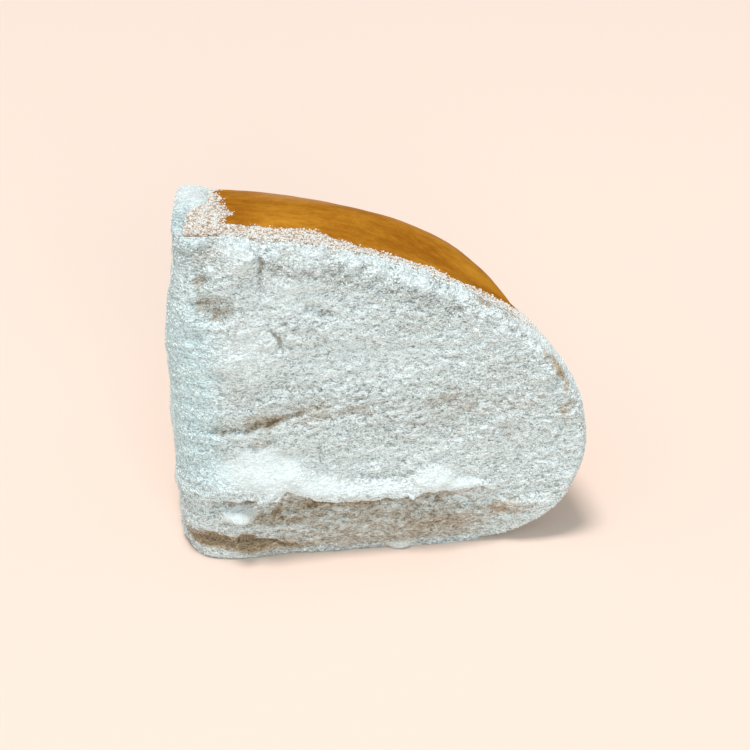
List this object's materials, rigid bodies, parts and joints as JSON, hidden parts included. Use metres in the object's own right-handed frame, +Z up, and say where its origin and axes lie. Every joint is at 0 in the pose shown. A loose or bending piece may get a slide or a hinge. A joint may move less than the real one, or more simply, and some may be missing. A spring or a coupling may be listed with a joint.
{
  "type": "cream cheese bun",
  "caption": "Quarter of a round domed milk loaf with a golden crust, its two cut faces coated in cream cheese and milk powder.",
  "frame": {"origin": "middle of the bounding box on the base, so the bun stands on z = 0", "axes": "+Z up; the front cut face looks along -Y and the left cut face along -X, so the loaf's axis stands at the corner towards -X and -Y; the round crust faces +X and +Y"},
  "size_m": [0.0872, 0.0884, 0.0734],
  "materials": {
    "baked_bread": "smooth baked crust with a soft egg-wash gloss",
    "powdered_cream": "matte cream cheese under a granular coat of milk powder"
  },
  "bodies": {
    "root": {"bread": "baked_bread", "cream_coat": "powdered_cream"}
  },
  "joints": []
}
